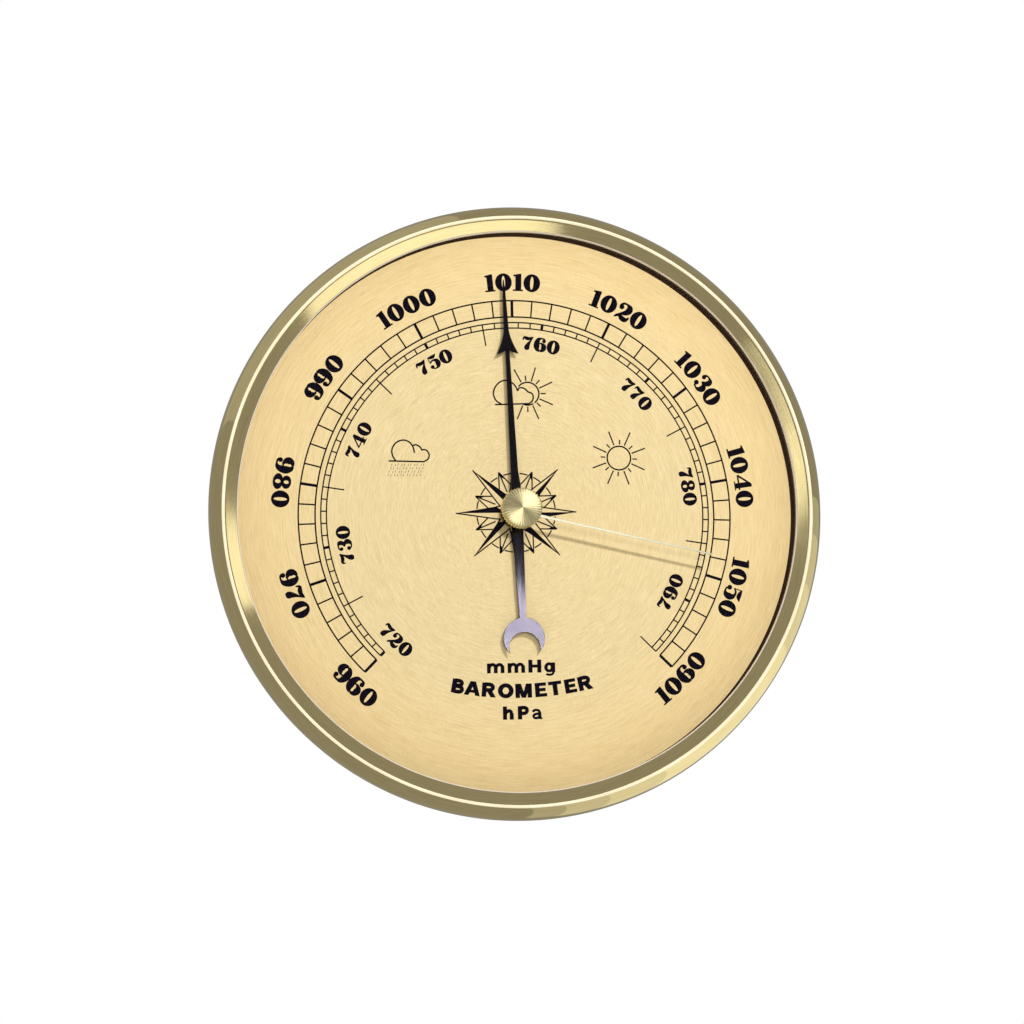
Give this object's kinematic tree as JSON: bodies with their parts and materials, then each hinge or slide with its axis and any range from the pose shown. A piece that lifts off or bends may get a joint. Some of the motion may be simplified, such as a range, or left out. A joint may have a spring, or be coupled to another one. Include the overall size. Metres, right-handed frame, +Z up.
{
  "type": "aneroid barometer",
  "caption": "Round wall-hung aneroid barometer with brushed gold bezel, spun dial, barbed pointer with crescent tail, knob-set hand and a capsule, rocker and sector movement.",
  "frame": {"origin": "centre of the flat back face, on the dial's axis", "axes": "-Y out of the dial towards the reader, +Y into the wall, +Z up, +X to the reader's right"},
  "size_m": [0.132, 0.0385, 0.132],
  "materials": {
    "gold_bezel": "circumferentially brushed gold-tone sheet, bright crest and lip",
    "gold_dial": "champagne gold, finely spun, printed in black",
    "bright_brass": "turned and polished pale brass",
    "brass": "plain machined brass",
    "blued_steel": "blue-black mirror finish",
    "spring_steel": "ground spring steel",
    "zinc_steel": "zinc-plated steel",
    "case_steel": "drawn sheet steel, gold-tone lacquer",
    "capsule_metal": "nickel silver, bright",
    "glass": "clear flat mineral glass",
    "black_rubber": "matt black rubber",
    "black_plastic": "matt black plastic"
  },
  "bodies": {
    "case": {"rear_case": "case_steel", "bezel": "gold_bezel", "glass": "glass", "glass_gasket": "black_rubber", "spacer_ring": "black_plastic", "dial": "gold_dial", "glass_bush": "brass", "base_plate": "zinc_steel", "case_screw_1": "zinc_steel", "case_screw_2": "zinc_steel", "case_screw_3": "zinc_steel", "base_spacer_1": "brass", "base_spacer_2": "brass", "base_spacer_3": "brass", "pillar_1": "brass", "pillar_2": "brass", "pillar_3": "brass", "plate_screw_1": "zinc_steel", "plate_screw_2": "zinc_steel", "plate_screw_3": "zinc_steel", "front_plate": "brass", "centre_bush_rear": "bright_brass", "centre_bush_front": "bright_brass", "sector_bush_rear": "bright_brass", "sector_bush_front": "bright_brass", "aneroid_capsule": "capsule_metal", "capsule_nut": "brass", "mainspring": "spring_steel", "spring_foot": "brass", "spring_screw_1": "zinc_steel", "spring_screw_2": "zinc_steel", "adjuster_bush": "zinc_steel", "rocker_bracket": "zinc_steel", "bracket_screw_1": "zinc_steel", "bracket_screw_2": "zinc_steel", "hairspring_stud": "brass"},
    "pointer": {"pointer": "blued_steel", "pointer_hub": "brass", "centre_arbor": "spring_steel", "pinion": "spring_steel", "hairspring_collet": "brass", "hairspring": "spring_steel"},
    "sector": {"sector_gear": "brass", "sector_arbor": "spring_steel"},
    "rocker": {"rocker_shaft": "spring_steel", "rocker_arm": "brass", "rocker_finger": "brass"},
    "capsule_post": {"capsule_post": "spring_steel", "post_nut": "brass"},
    "set_hand": {"set_knob": "bright_brass", "set_spindle": "brass", "set_hand": "bright_brass", "friction_washer": "spring_steel"},
    "adjuster": {"adjusting_screw": "brass"}
  },
  "joints": [
    {"name": "pointer_turn", "type": "hinge", "parent": "case", "child": "pointer", "pos_m": [0, 0, 0], "axis": [0, 1, 0], "range_deg": [-132.84, 137.16], "stiffness_Nm_per_rad": 0.000002, "deforming": ["hairspring"]},
    {"name": "sector_turn", "type": "hinge", "parent": "case", "child": "sector", "pos_m": [0, 0, -0.0264], "axis": [0, 1, 0], "range_deg": [-14, 13.5]},
    {"name": "rocker_turn", "type": "hinge", "parent": "case", "child": "rocker", "pos_m": [0, -0.0192, -0.0283], "axis": [1, 0, 0], "range_deg": [-9.6, 9.3]},
    {"name": "capsule_post_slide", "type": "slide", "parent": "case", "child": "capsule_post", "axis": [0, 1, 0], "range_m": [-0.0005, 0.0005], "deforming": ["aneroid_capsule", "mainspring"]},
    {"name": "set_hand_turn", "type": "hinge", "parent": "case", "child": "set_hand", "pos_m": [0, 0, 0], "axis": [0, 1, 0], "continuous": true},
    {"name": "adjusting_screw_turn", "type": "hinge", "parent": "case", "child": "adjuster", "pos_m": [-0.028, 0, 0.008], "axis": [0, 1, 0], "range_deg": [-360, 360]}
  ],
  "couplings": [
    {"joint": "sector_turn", "follows": "pointer_turn", "ratio": -0.1},
    {"joint": "rocker_turn", "follows": "pointer_turn", "ratio": -0.067708},
    {"joint": "capsule_post_slide", "follows": "pointer_turn", "m_per_rad": 0.00020313}
  ]
}
